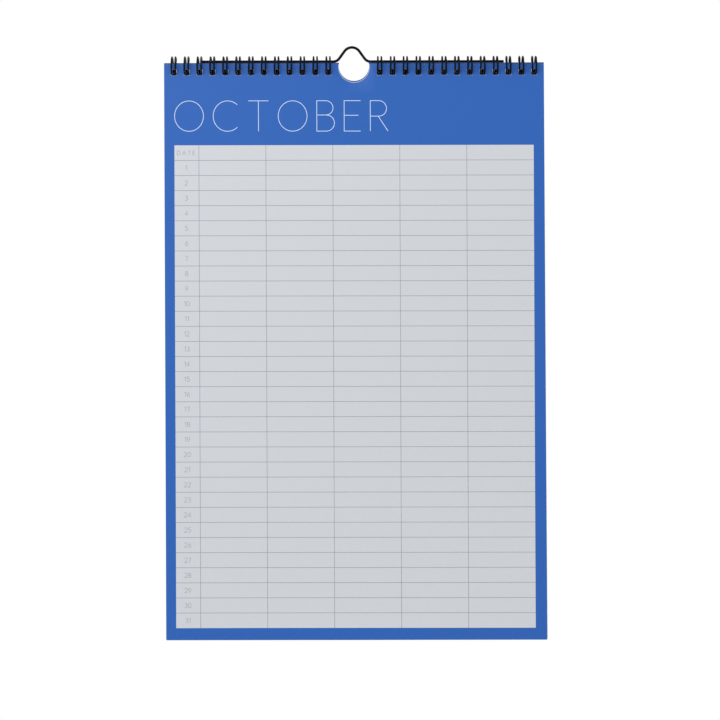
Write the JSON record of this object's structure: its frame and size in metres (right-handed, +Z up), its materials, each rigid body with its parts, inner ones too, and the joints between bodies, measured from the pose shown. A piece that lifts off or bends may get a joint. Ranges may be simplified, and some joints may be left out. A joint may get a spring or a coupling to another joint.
{
  "type": "wall calendar",
  "caption": "Wall calendar with blue month sheets and a pale day grid, bound along the top by black twin-loop wire and hung from a bent wire hanger.",
  "frame": {"origin": "the nail's seat, under the crown of the hanger's hump and in the middle of its wire", "axes": "+Z up along the sheets as they hang, +X to the viewer's right, +Y into the wall"},
  "size_m": [0.25, 0.0121, 0.3914],
  "materials": {
    "blue_print": "satin",
    "pale_print": "matte",
    "board": "matte",
    "black_wire": "gloss"
  },
  "bodies": {
    "hanger": {"hanger": "black_wire"},
    "binding": {"binding_wire_left": "black_wire", "binding_wire_right": "black_wire", "back_board": "board"},
    "pages": {"month_pages": "blue_print", "month_grid": "pale_print"}
  },
  "joints": [
    {"name": "hanger_swivel", "type": "hinge", "parent": "hanger", "child": "binding", "pos_m": [0, 0, -0.00834], "axis": [1, 0, 0], "range_deg": [-100, 180]},
    {"name": "page_turn", "type": "hinge", "parent": "binding", "child": "pages", "pos_m": [0.0009, -0.00346, -0.01014], "axis": [-1, 0, 0], "range_deg": [0, 180]}
  ]
}
